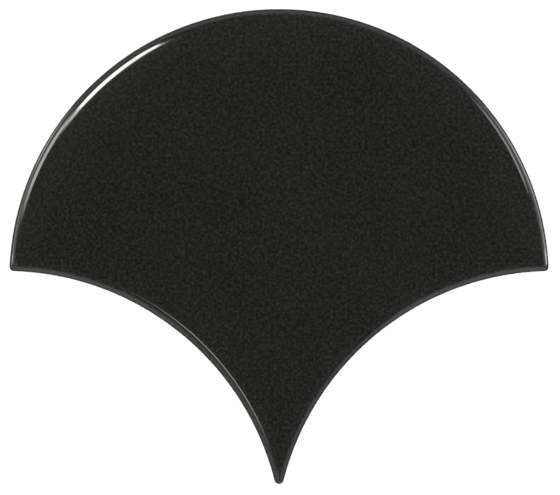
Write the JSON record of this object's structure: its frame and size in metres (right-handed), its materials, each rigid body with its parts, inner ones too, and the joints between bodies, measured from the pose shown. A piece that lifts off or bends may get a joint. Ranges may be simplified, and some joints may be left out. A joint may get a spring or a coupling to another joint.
{
  "type": "fish scale tile",
  "caption": "Fan-shaped glazed wall tile: a round head, two scooped sides that take the neighbouring tiles' heads, a blunt tip, a rolled glazed edge and a keyed back.",
  "frame": {"origin": "centre of the round head's circle, on the back that beds on the wall", "axes": "+Z out of the glazed face, +Y from the centre towards the top of the round head, +X across the tile from wing to wing"},
  "size_m": [0.1198, 0.1056, 0.0083],
  "materials": {
    "glaze": "gloss black glaze over a fired clay body that shows on the back"
  },
  "bodies": {
    "root": {"scale_tile": "glaze"}
  },
  "joints": []
}
